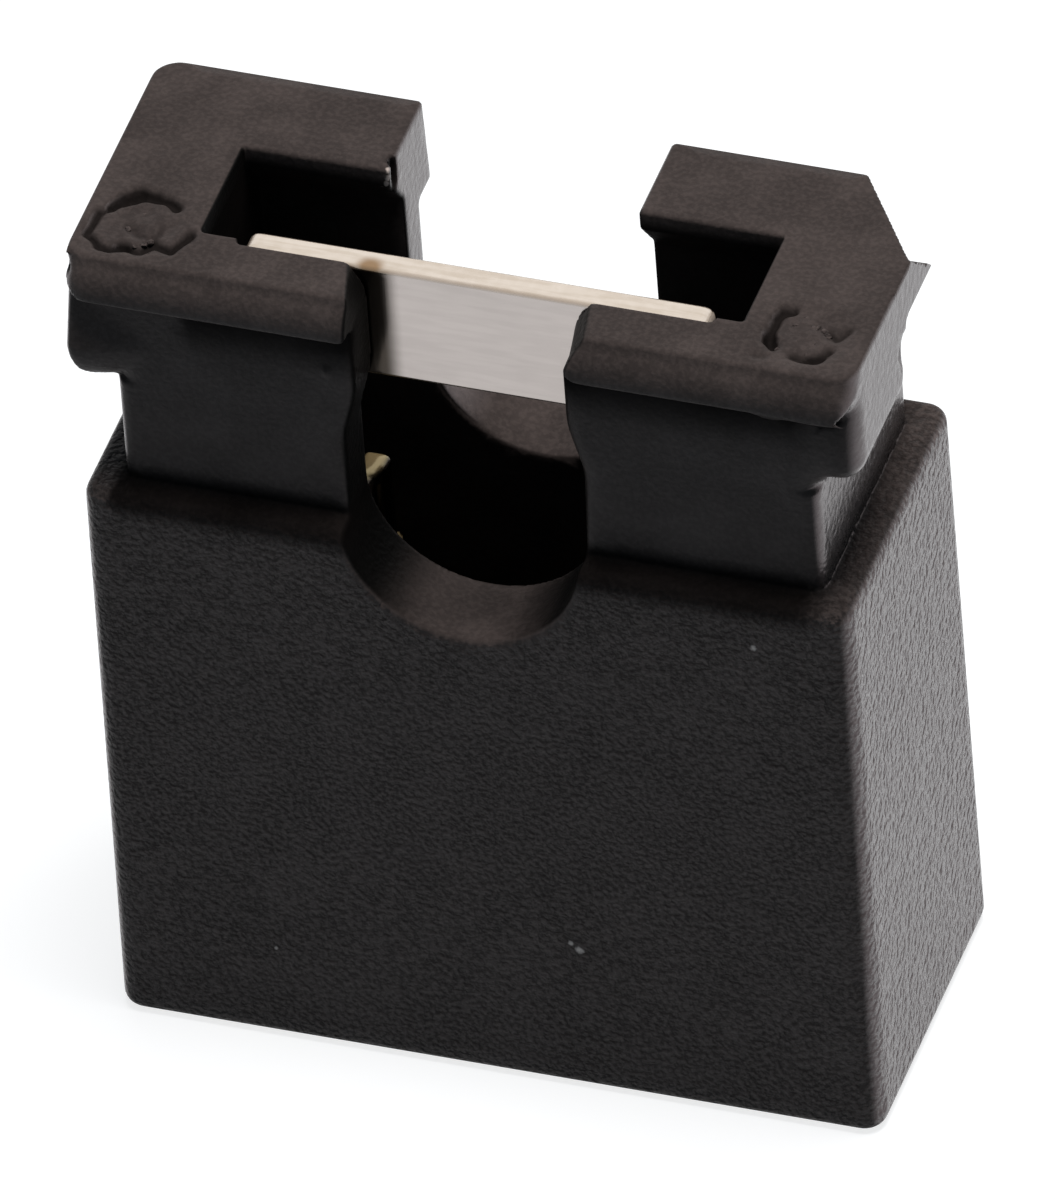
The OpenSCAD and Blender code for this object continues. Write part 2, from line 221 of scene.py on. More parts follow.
class ShuntHousingSizes(bpy.types.PropertyGroup):
    """Sizes of the moulded housing."""

    pitch: length("Pitch", "Distance between the two pins", 2.54)
    top: length("Height", "Height of the rim above the foot", TOTAL_H)
    body_w: length("Body width", "Width of the lower body along the pin row", 4.96)
    foot_d: length("Foot depth", "Depth of the body at the foot", 2.24)
    shoulder_d: length("Shoulder depth", "Depth of the body at the shoulder", 2.12)
    body_h: length("Shoulder height", "Height of the shoulder above the foot", 4.17)
    body_edge_r: length("Body edge", "Radius of the upright edges of the body", 0.15)
    foot_edge_r: length("Foot edge", "Radius of the edges round the foot", 0.1)
    shoulder_edge_r: length("Shoulder edge", "Radius of the edges round the shoulder", 0.08)
    neck_w: length("Neck width", "Width of the neck along the pin row", 4.52)
    neck_front: length("Neck front", "Front face of the neck, before the pin row", 0.86)
    neck_back: length("Neck back", "Back face of the neck, behind the pin row", 0.875)
    neck_edge_r: length("Neck edge", "Radius of the upright edges of the neck", 0.1)
    neck_hollow_r: length("Neck hollow", "Radius of the hollow between neck and shoulder", 0.015)
    rim_w: length("Rim width", "Width over the two ears", RIM_W)
    ear_h: length("Ear height", "Height of the ears at the ends of the rim", 0.88)
    ear_edge_r: length("Ear edge", "Radius of the lower outer edge of an ear", 0.16)
    ear_hollow_r: length("Ear hollow", "Radius of the hollow between ear and neck", 0.1)
    rim_edge_r: length("Rim edge", "Radius of the upright edges of the rim", 0.18)
    bulge_front: length("Bulge front", "Front of the left ear's swollen corner, before the pin row", 1.0)
    bulge_w: length("Bulge width", "Width over which that swelling runs out", 0.5)
    bulge_edge_r: length("Bulge edge", "Radius of the swelling's upright edge", 0.08)
    bulge_foot_r: length("Bulge foot", "Radius of the swelling's lower edge", 0.42)
    bulge_drop: length("Bulge drop", "Depth of the swelling's foot below the ear", 0.2)
    bulge_lean: share("Bulge lean", "Slope at which the swelling draws back towards the top", 0.3)
    rim_top_r: length("Rim top edge", "Radius of the edges round the top of the rim", 0.025)
    lip_front: length("Lip front", "Nose of the front lip, before the pin row", 0.98)
    lip_h: length("Lip height", "Height of the front lip", 0.28)
    lip_nose_r: length("Lip nose", "Radius of the nose of the front lip", 0.25)
    lip_foot_r: length("Lip foot", "Radius of the lower edge of the lips", 0.03)
    # The painted shade in inner corners reaches this far
    shade_reach: length("Shade", "Distance to which dirt spreads from an inner corner", 0.12)
    back_lip_h: length("Back lip height", "Height of the back lip", 0.66)
    back_lip_top: length("Back lip top", "Top edge of the back lip, behind the pin row", 1.06)
    back_lip_foot: length("Back lip foot", "Lower edge of the back lip, behind the pin row", 1.11)
    gate_cut_x: length("Gate cut along back", "Length of the gate cut along the back", 0.5)
    gate_cut_y: length("Gate cut along end", "Length of the gate cut along the end", 0.73)
    gate_cut_lean: angle("Gate cut lean", "Angle at which the gate cut leans in", 12)
    gate_edge_r: length("Gate edge", "Radius of the edges of the gate cut", 0.015)
    burr_t: length("Burr thickness", "Thickness of the burr at the gate cut", 0.06)
    burr_reach: length("Burr reach", "Reach of the burr behind the gate cut", 0.38)
    burr_h: length("Burr height", "Height of the burr", 0.34)
    mark_d: length("Mark diameter", "Diameter of the round ejector marks", 0.62)
    mark_depth: length("Mark depth", "Depth of the ejector marks", 0.02)
    mark_front: length("Mark place", "Centre of the marks, before the pin row", 0.48)
    mark_inset: length("Mark inset", "Wall between a mark and the end of the rim", 0.1)
    mark_fade: length("Mark fade", "Width over which the floor of a mark rises to the rim", 0.12)
    tear_wobble: length("Tear wobble", "Unevenness of the torn lines in a mark", 0.02)
    tear_spacing: length("Tear spacing", "Spacing of that unevenness", 0.09)
    core_shift: length("Core shift", "Shift of the notches and the cavity along the pin row", -0.03)
    keyhole_r: length("Keyhole radius", "Radius of the round foot of the front notch", 0.76)
    keyhole_rise: length("Keyhole rise", "Centre of the round foot above the shoulder", 0.08)
    keyhole_side_h: length("Keyhole sides", "Height of the straight sides above it", 0.55)
    throat_w: length("Throat width", "Width of the front notch at its throat", 1.34)
    throat_rise: length("Throat rise", "Foot of the throat above the straight sides", 0.35)
    throat_h: length("Throat height", "Height of the throat", 0.6)
    throat_r: length("Throat rounding", "Half height over which the throat's bends are eased", 0.06)
    throat_left_r: length("Throat left edge", "Radius of the throat's left outer edge", 0.05)
    throat_right_r: length("Throat right edge", "Radius of the throat's right outer edge", 0.12)
    mouth_w: length("Mouth width", "Width of the front notch at the top", 1.58)
    mouth_skew: length("Mouth skew", "Further flare of the mouth's right side at the nose", 0.065)
    back_foot_r: length("Back foot", "Radius of the round foot of the back notch", 0.72)
    back_foot_rise: length("Back foot rise", "Centre of that foot above the shoulder", 0.15)
    back_foot_lean: length("Back foot lean", "Rise of that foot from the cavity to the back face", 0.09)
    back_flare_h: length("Back flare", "Height over which the back notch widens", 0.4)
    back_notch_w: length("Back notch width", "Width of the back notch above that", 1.61)
    notch_edge_r: length("Notch edge", "Radius of the other edges of the notches", 0.03)
    groove_front: length("Groove front", "Front wall of the contact's groove, before the pin row", 0.5)
    groove_half: length("Groove end", "End of the contact's groove, from the middle", 1.52)
    pocket_front: length("Pocket front", "Front wall of the cavity's ends, before the pin row", 0.45)
    opening_back: length("Opening back", "Back edge of the opening, behind the pin row", 0.37)
    cavity_back: length("Cavity back", "Back wall of the cavity, behind the pin row", 0.59)
    cavity_half: length("Cavity end", "End wall of the cavity, from its middle", 1.74)
    cavity_edge_r: length("Cavity edge", "Radius of the edges round the opening", 0.02)
    ledge_h: length("Ledge height", "Upright height of the ledge behind the opening", 0.14)
    ledge_slope_h: length("Ledge slope", "Height of the slope under the ledge", 0.28)
    floor_t: length("Floor", "Thickness of the floor under the contact", 0.6)
    partition_h: length("Partition height", "Height of the wall between the sockets", 2.4)
    partition_half: length("Partition", "Half thickness of the wall between the sockets", 0.69)
    entry_half: length("Pin entry", "Half width of the square pin entries", 0.4)
    entry_mouth_w: length("Entry mouth width", "Width of the sloping mouth round an entry", 0.12)
    entry_mouth_h: length("Entry mouth height", "Height of the sloping mouth", 0.3)
    grid: length("Housing grid", "Grid spacing of the housing's surface", 0.02)


class ShuntContactSizes(bpy.types.PropertyGroup):
    """Sizes of the folded contact."""

    plate_front: length("Plate front", "Front face of the strip, before the pin row", 0.5)
    plate_back: length("Plate back", "Back face of the strip, before the pin row", 0.32)
    sheet_t: length("Sheet", "Thickness of the sheet", 0.18)
    strip_top: length("Strip top", "Top edge of the strip above the foot", 5.88)
    strip_h: length("Strip height", "Height of the bridge strip", 0.86)
    strip_corner_r: length("Strip corner", "Radius of the top corners of the strip", 0.08)
    strip_hollow_r: length("Strip hollow", "Radius of the hollow between strip and legs", 0.15)
    leg_outer: length("Leg edge", "Outer edge of a leg, from the middle", 1.5)
    wall_inner: length("Sleeve wall", "Inner face of a sleeve, from the middle", 0.75)
    floor_t: length("Foot", "Foot of the sleeves above the housing's foot", 0.6)
    wall_top: length("Wall top", "Top of a sleeve's inner wall above the housing's foot", 2.6)
    wall_back: length("Wall back", "Back edge of the inner wall, behind the pin row", 0.32)
    tab_top: length("Tab top", "Top of a sleeve's front tab above the housing's foot", 4.12)
    tab_edge_r: length("Tab edge", "Radius of the tab's worn upper edges", 0.08)
    tab_back: length("Tab back", "Back edge of the front tab, before the pin row", 0.16)
    bend_r: length("Bend", "Inside radius of the sleeve bends", 0.06)
    root_top: length("Root top", "Top of the bend that carries a leaf", 1.2)
    root_front: length("Root front", "Front face of the root, behind the pin row", 0.38)
    leaf_bow: length("Leaf bow", "Amount by which a leaf bows forward", 0.16)
    leaf_l: length("Leaf length", "Free length of a leaf", 1.6)
    leaf_edge: length("Leaf edge", "Outer edge of a leaf, from the middle", 1.5)
    edge_r: length("Cut edge", "Radius of the stamped edges", 0.025)
    grid: length("Contact grid", "Grid spacing of the contact's surface", 0.02)


class ShuntCrumbSizes(bpy.types.PropertyGroup):
    """Sizes of the torn crumbs in the ejector marks."""

    ring_r: length("Ring", "Radius of the ring of crumbs in a mark", 0.12)
    crumb_r: length("Crumb", "Mean radius of a crumb", 0.024)
    crumbs: IntProperty(name="Crumbs", description="Places for crumbs round a ring", default=16, min=3)
    kept: share("Kept", "Share of the places that hold a crumb", 0.85)


class ShuntFinish(bpy.types.PropertyGroup):
    """Colours and textures of the two finishes."""

    plastic: colour("Plastic", "Colour of the moulded plastic", (0.030, 0.0268, 0.0266))
    plastic_pale: colour("Pale plastic", "Colour of its paler grains", (0.082, 0.073, 0.0715))
    # This near-black paints shade on the core's walls, in the cavity, in corners and in the torn marks
    painted_shade: colour("Shade", "Colour of the core's polished walls and of dirt", (0.003, 0.003, 0.003))
    speck: colour("Specks", "Colour of the pale specks", (0.6, 0.57, 0.55))
    grain_size: length("Grain size", "Size of the spark-eroded grain", 0.034)
    grain_depth: length("Grain depth", "Depth of the spark-eroded grain", 0.035)
    rim_grain: share("Rim grain", "Share of that depth on the neck and rim", 0.12)
    gloss: share("Plastic gloss", "Specular level of the plastic", 0.055)
    # The end faces get a glossier copy of the plastic whose pink tint paints the warm light falling on them
    # from the right
    end_gloss: share("End gloss", "Specular level of the end faces, which left the mould shinier", 0.85)
    end_light_tint: colour("End tint", "Tint of the gloss on the end faces", (1.0, 0.84, 0.86))
    plating: colour("Plating", "Colour of the tin plating", (0.44, 0.40, 0.38))
    bronze: colour("Bronze", "Colour of the bare cut edges", (0.60, 0.55, 0.47))
    bronze_pale: colour("Pale bronze", "Colour of their smeared plating", (0.72, 0.68, 0.61))
    stain: colour("Stain", "Colour of the brown stain on the strip's edge", (0.30, 0.20, 0.11))
    aged: colour("Aged bronze", "Colour of the cut edges inside the sleeves", (0.30, 0.25, 0.135))
    # Painted shade on the plating inside the sleeves, also the painted dark reflection of the left wall on
    # the strip's front
    metal_shade: colour("Shadowing", "Colour of the dull plating inside the sleeves", (0.05, 0.042, 0.035))
    brush_size: length("Rolling lines", "Spacing of the fine rolling lines", 0.03)


class ShuntStudio(bpy.types.PropertyGroup):
    """Camera, lights and floor."""

    azimuth: angle("Azimuth", "Turn of the camera to the right of the front", 20.836)
    elevation: angle("Elevation", "Height of the camera above the horizon", 40.678)
    roll: angle("Roll", "Turn of the camera about its own axis", 4.424)
    aim: length("Aim", "Height of the point that the camera looks at", 2.9415)
    drop: length("Drop", "Distance by which the camera is lowered in its own plane", 0.0104)
    distance: length("Distance", "Distance from the camera to that point", 294.15)
    lens: FloatProperty(
        name="Lens", description="Focal length for a 36 mm sensor", default=1434.6, unit="CAMERA"
    )
    floor: colour("Floor", "Colour of the floor", (0.36, 0.42, 0.46))
    floor_half: length("Floor half", "Half the width of the floor", 150)
    floor_glow: share("Floor glow", "Whiteness of the floor that doesn't light the object", 0.8)
    ambient: colour("Ambient", "Light of the surroundings on matt surfaces", (0.02, 0.045, 0.065))
    key: colour("Key colour", "Colour of the softbox above", (1.0, 0.86, 0.79))
    key_power: FloatProperty(
        name="Key light", description="Power of the softbox above", default=0.0355, unit="POWER"
    )
    key_back: angle("Key back", "Lean of the softbox to the back, from straight above", 3)
    key_right: angle("Key right", "Lean of the softbox to the right, from straight above", 6)
    key_distance: length("Key distance", "Distance of the softbox", 60)
    key_size: length("Key size", "Width of the softbox", 24)
    seed: IntProperty(name="Seed", description="Seed of all random draws", default=7)


# Fields of distances in millimetres, negative inside the material


def round_max(a, b, r):
    """Common part of two fields, with the edge between them rounded."""
    return np.minimum(np.maximum(a, b), -r) + np.hypot(np.maximum(a + r, 0), np.maximum(b + r, 0))


def round_min(a, b, r):
    """Union of two fields, with the corner between them hollowed."""
    return -round_max(-a, -b, r)


def slab(value, low, high):
    """Field of the span between two limits."""
    return np.maximum(low - value, value - high)


def ramp(value, low, high):
    """0 below one limit, 1 above another, and a straight line between them."""
    return np.clip((value - low) / (high - low), 0, 1)


def eased(value, places, sizes, ease):
    """A size that changes in straight lines between places, with its bends eased."""
    shifts = np.linspace(-ease, ease, 7)
    return sum(np.interp(value + shift, places, sizes) for shift in shifts) / len(shifts)


def lattice_noise(rng, x, y, spacing):
    """Smooth random heights from -1 to 1 over a plane."""
    side = 64
    heights = rng.uniform(-1, 1, (side, side))
    u, v = x / spacing + side / 2, y / spacing + side / 2
    i, j = np.floor(u).astype(int), np.floor(v).astype(int)
    s, t = u - i, v - j
    s, t = s * s * (3 - 2 * s), t * t * (3 - 2 * t)
    i, j = i % (side - 1), j % (side - 1)
    low = heights[i, j] * (1 - s) + heights[i + 1, j] * s
    high = heights[i, j + 1] * (1 - s) + heights[i + 1, j + 1] * s
    return low * (1 - t) + high * t


def grid_axes(low, high, step):
    """Three arrays of places along X, Y and Z that broadcast to a full grid."""
    x, y, z = (np.arange(a, b + step, step) for a, b in zip(low, high))
    return x[:, None, None], y[None, :, None], z[None, None, :]


def lower_body(s, x, y, z):
    """Flared block below the shoulder."""
    slope = (s.foot_d - s.shoulder_d) / 2 / s.body_h
    face = (np.abs(y) - s.foot_d / 2 + slope * z) / math.hypot(1, slope)
    plan = round_max(np.abs(x) - s.body_w / 2, face, s.body_edge_r)
    return round_max(round_max(plan, -z, s.foot_edge_r), z - s.body_h, s.shoulder_edge_r)


def rim_ends(s, x, z):
    """Neck and ears as seen from the front."""
    ear = round_max(np.abs(x) - s.rim_w / 2, s.top - s.ear_h - z, s.ear_edge_r)
    return round_min(ear, np.abs(x) - s.neck_w / 2, s.ear_hollow_r)


def rim_sides(s, y, z):
    """Neck, nosed front lip and leaning back lip as seen from the end."""
    nose = round_max(-s.lip_front - y, z - s.top, s.lip_nose_r)
    front_lip = round_max(nose, s.top - s.lip_h - z, s.lip_foot_r)
    front = round_min(front_lip, -s.neck_front - y, s.lip_foot_r)
    slope = (s.back_lip_foot - s.back_lip_top) / s.back_lip_h
    back_face = (y - s.back_lip_top - slope * (s.top - z)) / math.hypot(1, slope)
    back_lip = round_max(back_face, s.top - s.back_lip_h - z, s.lip_foot_r)
    back = round_min(back_lip, y - s.neck_back, s.lip_foot_r)
    return np.maximum(front, back)


def left_bulge(s, x, y, z):
    """Swollen front corner of the left ear, which runs out to the right."""
    end = -s.rim_w / 2 + s.neck_hollow_r
    slope = (s.bulge_front - s.neck_front) / s.bulge_w
    foot = s.top - s.ear_h - s.bulge_drop
    front = s.bulge_front - s.bulge_lean * np.maximum(z - foot - s.bulge_foot_r, 0)
    face = (slope * (x - end) - front - y) / math.hypot(1, slope, s.bulge_lean)
    corner = round_max(end - x, face, s.bulge_edge_r)
    corner = round_max(corner, foot - z, s.bulge_foot_r)
    behind = np.maximum(x - end - s.bulge_w, y + s.pocket_front)
    return np.maximum(np.maximum(corner, z - s.top + s.lip_h / 2), behind)


def mark_centre(s, side):
    """Middle of the ejector mark on one end of the rim."""
    return side * (s.rim_w / 2 - s.mark_inset - s.mark_d / 2), -s.mark_front


def line_gap(x, y, points):
    """Distance to a broken line in a plane."""
    gap = np.inf
    for (x0, y0), (x1, y1) in zip(points, points[1:]):
        along_x, along_y = x1 - x0, y1 - y0
        reached = ((x - x0) * along_x + (y - y0) * along_y) / (along_x * along_x + along_y * along_y)
        reached = np.clip(reached, 0, 1)
        gap = np.minimum(gap, np.hypot(x - x0 - reached * along_x, y - y0 - reached * along_y))
    return gap


def torn_lines(s, seed, x, y):
    """Depth of the ejector marks' torn lines."""
    rng = np.random.default_rng(seed)
    wobble = s.tear_wobble * lattice_noise(rng, x, y, s.tear_spacing)
    sway = s.tear_wobble * lattice_noise(rng, x, y, s.tear_spacing)
    depths = 0
    for side, reach, depth, points in TORN_LINES:
        at_x, at_y = mark_centre(s, side)
        near = 1 - ramp(line_gap(x - at_x + wobble, y - at_y + sway, points), 0, reach)
        depths = depths + depth * near * near * (3 - 2 * near)
    return depths


def rim_tears(s, seed, x, y):
    """Depth of the ejector pins' shallow torn marks below the rim's top."""
    lumps = s.tear_wobble * lattice_noise(np.random.default_rng(seed), x, y, s.tear_spacing)
    tears = torn_lines(s, seed, x, y)
    for side in (-1, 1):
        at_x, at_y = mark_centre(s, side)
        radius = np.hypot(x - at_x, y - at_y) + lumps
        tears = tears + (s.mark_depth + lumps / 2) * ramp(s.mark_d / 2 - radius, 0, s.mark_fade)
    return tears


def gate_cut(s, x, y, z):
    """Slanting cut that takes the gate off the back right corner of the rim."""
    turn = math.atan2(s.gate_cut_x, s.gate_cut_y)
    normal = (
        math.cos(s.gate_cut_lean) * math.cos(turn),
        math.cos(s.gate_cut_lean) * math.sin(turn),
        -math.sin(s.gate_cut_lean),
    )
    beyond = (
        (x - s.rim_w / 2) * normal[0]
        + (y - s.back_lip_top + s.gate_cut_y) * normal[1]
        + (z - s.top) * normal[2]
    )
    lowest = s.top - s.ear_h - s.ear_hollow_r
    return np.maximum(-beyond, lowest - z)


def gate_burr(s, x, y, z):
    """Thin burr in the plane of the rim's end, behind the gate cut."""
    edge = s.back_lip_top - s.gate_cut_y
    slant = ((y - edge) * s.burr_h + (z - s.top) * s.burr_reach) / math.hypot(s.burr_h, s.burr_reach)
    flap = np.maximum(np.maximum(slant, slab(z, s.top - s.burr_h, s.top)), edge - s.burr_h - y)
    return np.maximum(flap, slab(x, s.rim_w / 2 - s.burr_t, s.rim_w / 2))


def round_foot_notch(x, z, centre, foot_r, half):
    """A notch with a round foot, and sides of a given half width above the foot's centre."""
    foot = np.hypot(x, z - centre) - foot_r
    return np.minimum(foot, np.maximum(np.abs(x) - half, centre - z))


def front_notch(s, x, y, z):
    """Front notch with its throat and a flared mouth, which is skewed in the lip."""
    centre = s.body_h + s.keyhole_rise
    side_top = centre + s.keyhole_side_h
    throat_foot = side_top + s.throat_rise
    throat_top = throat_foot + s.throat_h
    half = eased(z, [side_top, throat_foot], [s.keyhole_r, s.throat_w / 2], s.throat_r)
    flare = eased(z, [throat_top, s.top], [0, (s.mouth_w - s.throat_w) / 2], s.throat_r)
    in_lip = ramp(z, s.top - s.lip_h - s.throat_r, s.top - s.lip_h)
    at_nose = ramp(-y, s.groove_front, s.neck_front)
    across = x - s.core_shift
    side = np.where(across < 0, flare * (1 - at_nose), flare + s.mouth_skew * in_lip * at_nose)
    return round_foot_notch(across, z, centre, s.keyhole_r, half + side)


def front_notch_edge(s, x, y, z):
    """Radius of the front notch's edges: wider outside along the throat, narrow elsewhere."""
    throat_foot = s.body_h + s.keyhole_rise + s.keyhole_side_h
    lip_foot = s.top - s.lip_h
    places = [s.body_h, throat_foot, lip_foot, lip_foot + s.throat_r]
    along = np.interp(z, places, [0, 1, 1, 0]) * ramp(-y, s.groove_front, s.neck_front)
    return s.notch_edge_r + along * (np.where(x < 0, s.throat_left_r, s.throat_right_r) - s.notch_edge_r)


def back_notch(s, x, y, z):
    """Back notch with a leaning round foot that widens to straight sides."""
    centre = s.body_h + s.back_foot_rise + s.back_foot_lean * ramp(y, s.cavity_back, s.back_lip_foot)
    flare = ramp(z - centre, 0, s.back_flare_h)
    half = s.back_foot_r + flare * (s.back_notch_w / 2 - s.back_foot_r)
    return round_foot_notch(x - s.core_shift, z, centre, s.back_foot_r, half)


def cavity(s, x, y, z):
    """Hollow for the contact, with the ledge behind its opening and the partition in its foot."""
    ledge_foot = s.top - s.ledge_h
    places = [ledge_foot - s.ledge_slope_h, ledge_foot]
    back = eased(z, places, [s.cavity_back, s.opening_back], s.cavity_edge_r)
    front = np.where(np.abs(x) < s.groove_half, s.groove_front, s.pocket_front)
    side = np.maximum(-front - y, y - back)
    floor = np.where(np.abs(x) < s.partition_half, s.partition_h, s.floor_t)
    ends = np.abs(x - s.core_shift) - s.cavity_half
    return np.maximum(np.maximum(side, ends), floor - z)


def pin_entries(s, x, y, z):
    """Square entries with sloping mouths in the foot."""
    mouth = s.entry_mouth_w * np.clip(1 - z / s.entry_mouth_h, 0, 1)
    across = np.abs(np.abs(x) - s.pitch / 2)
    return np.maximum(np.maximum(across, np.abs(y)) - s.entry_half - mouth, z - s.floor_t - s.entry_half)


def egg_share(places, middle, reach):
    """Distance from the middle of an egg, with 1 on its skin."""
    shares = [(value - at) / size for value, at, size in zip(places, middle, reach)]
    return np.sqrt(sum(part * part for part in shares))


def touch_up(field, axes, place, reach, adding):
    """Adds an egg-shaped lump to a field, or takes a dent out of it."""
    spans = []
    for axis, at, size in zip(axes, place, reach):
        margin = size + GRID_MARGIN * LUMP_EDGE
        spans.append(slice(*np.searchsorted(axis.ravel(), (at - margin, at + margin))))
    near = axes[0][spans[0]], axes[1][:, spans[1]], axes[2][:, :, spans[2]]
    egg = (egg_share(near, place, reach) - 1) * min(reach)
    old = field[tuple(spans)]
    field[tuple(spans)] = round_min(old, egg, LUMP_EDGE) if adding else round_max(old, -egg, LUMP_EDGE)


def housing_field(s, seed, x, y, z):
    """Distance field of the whole moulded housing."""
    ear_foot = s.top - s.ear_h - s.ear_hollow_r
    upright_r = np.where(z < ear_foot, s.neck_edge_r, s.rim_edge_r)
    upper = round_max(rim_ends(s, x, z), rim_sides(s, y, z), upright_r)
    upper = round_min(upper, left_bulge(s, x, y, z), s.neck_hollow_r)
    upper = round_max(upper, z - s.top + rim_tears(s, seed, x, y), s.rim_top_r)
    upper = round_max(upper, -gate_cut(s, x, y, z), s.gate_edge_r)
    upper = np.maximum(np.minimum(upper, gate_burr(s, x, y, z)), s.body_h - s.foot_edge_r - z)
    solid = round_min(lower_body(s, x, y, z), upper, s.neck_hollow_r)
    solid = round_max(solid, -np.maximum(front_notch(s, x, y, z), y), front_notch_edge(s, x, y, z))
    solid = round_max(solid, -np.maximum(back_notch(s, x, y, z), -y), s.notch_edge_r)
    solid = round_max(solid, -cavity(s, x, y, z), s.cavity_edge_r)
    solid = round_max(solid, -pin_entries(s, x, y, z), s.cavity_edge_r)
    for place, reach in CHIPS + DENTS:
        touch_up(solid, (x, y, z), place, reach, False)
    for place, reach in LUMPS:
        touch_up(solid, (x, y, z), place, reach, True)
    return solid


def core_side(s, x, y, z):
    """1 on the walls of the front notch and the cavity, and 0 elsewhere."""
    hollow = np.minimum(np.maximum(front_notch(s, x, y, z), y), cavity(s, x, y, z))
    return 1 - ramp(hollow, s.cavity_edge_r, s.throat_left_r)


def smooth_side(s, x, y, z):
    """1 on the neck, the rim and the walls of the notches and the cavity, and 0 below the shoulder."""
    back = np.maximum(back_notch(s, x, y, z), -y)
    inside = np.maximum(core_side(s, x, y, z), 1 - ramp(back, s.cavity_edge_r, s.throat_left_r))
    return np.maximum(inside, ramp(z, s.body_h - s.foot_edge_r / 2, s.body_h + s.foot_edge_r / 2))


def painted_shade(s, seed, x, y, z):
    """1 where shade is painted: in the cavity, the torn marks, under the lip and round the neck's foot, and
    round each chip.
    """
    edge = s.top - s.shade_reach / 2
    hollow = (1 - ramp(cavity(s, x, y, z), 0, s.cavity_edge_r)) * (1 - ramp(z, edge - s.shade_reach / 2, edge))
    lip_foot = s.top - s.lip_h
    tears = ramp(torn_lines(s, seed, x, y) / s.mark_depth, *TEAR_SPAN) * (z > lip_foot)
    for place, reach in CHIPS:
        tears = np.maximum(tears, 1 - ramp(egg_share((x, y, z), place, reach), 1, CHIP_DARK))
    before = -s.neck_front - y
    ends = FADE_ENDS * (np.abs(x) - s.neck_w / 2)
    above = z - s.body_h
    ledge = np.maximum(np.maximum(np.maximum(ends, 0), FADE_LEDGE * before), y - s.neck_back)
    foot = np.hypot(ledge, np.where(above > 0, FADE_UP, FADE_DOWN) * above)
    ear = ramp(-x, s.neck_w / 2 - s.bulge_w, s.neck_w / 2)
    lip = np.hypot(before, FADE_LIP * (z - lip_foot)) + ear + ramp(z, lip_foot, lip_foot + s.shade_reach / 2)
    corners = 1 - ramp(np.minimum(foot, lip) / s.shade_reach, *SHADE_SPAN)
    # The lit right end keeps less of the painted shade
    corners = corners * (1 - RIGHT_END_LIT * ramp(x, s.neck_w / 2 - s.shade_reach, s.neck_w / 2))
    return np.maximum(np.maximum(hollow, tears), corners)


def strip_and_legs(s, x, z):
    """Bridge strip and its two legs as seen from the front."""
    strip_foot = s.strip_top - s.strip_h
    strip = round_max(np.abs(x) - s.leg_outer, z - s.strip_top, s.strip_corner_r)
    strip = np.maximum(strip, strip_foot - z)
    leg = slab(np.abs(x), s.wall_inner + s.bend_r + s.sheet_t, s.leg_outer)
    leg = np.maximum(leg, slab(z, s.floor_t, strip_foot + s.sheet_t))
    return round_min(strip, leg, s.strip_hollow_r)


def sleeve_plan(s, x, y):
    """Folded sleeve as seen from above: front bend, inner wall, back bend and root."""
    outer_r = s.bend_r + s.sheet_t
    outer = round_max(s.wall_inner - np.abs(x), slab(y, -s.plate_front, s.root_front + s.sheet_t), outer_r)
    outer = np.maximum(outer, np.abs(x) - s.leaf_edge)
    bore = round_max(s.wall_inner + s.sheet_t - np.abs(x), slab(y, -s.plate_back, s.root_front), s.bend_r)
    return np.maximum(outer, -bore)


def spring_leaf(s, x, y, z):
    """Bowed leaf behind each pin, standing on the root of its sleeve."""
    half = s.leaf_l / 2
    radius = (half * half + s.leaf_bow * s.leaf_bow) / (2 * s.leaf_bow)
    middle = s.root_top + half
    reach = np.hypot(y - s.root_front + s.leaf_bow - radius, z - middle)
    leaf = slab(reach, radius - s.sheet_t, radius)
    leaf = np.maximum(leaf, y - s.root_front - s.sheet_t)
    leaf = np.maximum(leaf, slab(z, s.root_top - s.sheet_t, middle + half))
    span = slab(np.abs(x), s.wall_inner + s.bend_r + s.sheet_t, s.leaf_edge)
    return round_max(leaf, span, s.edge_r)


def contact_field(s, x, y, z):
    """Distance field of the whole folded contact."""
    plate = round_max(strip_and_legs(s, x, z), slab(y, -s.plate_front, -s.plate_back), s.edge_r)
    plan = sleeve_plan(s, x, y)
    root = round_max(plan, slab(z, s.floor_t, s.root_top), s.edge_r)
    side = np.maximum(plan, np.abs(x) - s.wall_inner - s.bend_r - s.sheet_t)
    wall = round_max(np.maximum(side, y - s.wall_back), slab(z, s.floor_t, s.wall_top), s.edge_r)
    tab = round_max(round_max(side, y + s.tab_back, s.edge_r), slab(z, s.floor_t, s.tab_top), s.tab_edge_r)
    sleeve = np.minimum(np.minimum(root, wall), np.minimum(tab, spring_leaf(s, x, y, z)))
    return np.minimum(plate, sleeve)


# Meshes from fields and node trees


def sample(field, places):
    """Values of a field between its grid points, at places counted in grid steps."""
    highest = np.array(field.shape) - 2
    base = np.clip(np.floor(places).astype(int), 0, highest)
    part = places - base
    total = np.zeros(len(places))
    for corner in np.ndindex(2, 2, 2):
        weight = np.prod(np.where(corner, part, 1 - part), axis=1)
        total += weight * field[tuple((base + corner).T)]
    return total


